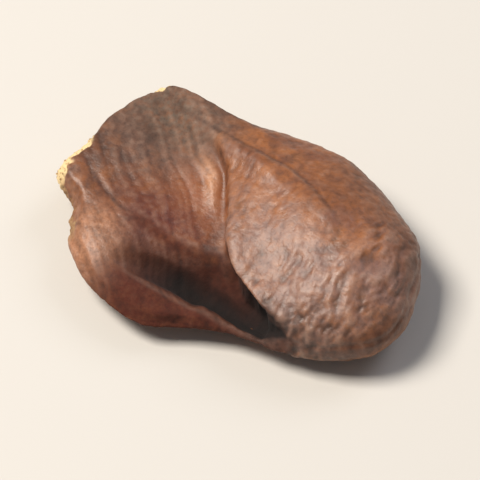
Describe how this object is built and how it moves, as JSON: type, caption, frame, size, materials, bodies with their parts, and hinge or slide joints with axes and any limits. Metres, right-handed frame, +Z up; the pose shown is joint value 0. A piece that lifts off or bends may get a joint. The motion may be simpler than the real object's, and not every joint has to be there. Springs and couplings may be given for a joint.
{
  "type": "mahogany seed",
  "caption": "Dry winged tree seed with its wing broken off short: a swollen kernel at one end, a groove along it and a thin torn stub.",
  "frame": {"origin": "middle of the seed's length and width, at its lowest point, where it lies on its belly", "axes": "+X towards the round kernel end, away from the torn wing; +Y towards the thick back margin; +Z up, across the flat of the seed"},
  "size_m": [0.0274, 0.018, 0.0071],
  "materials": {
    "seed_coat": "dry waxy seed coat, dark brown with a grey bloom, cream spongy tissue along the torn edge"
  },
  "bodies": {
    "root": {"seed": "seed_coat"}
  },
  "joints": []
}
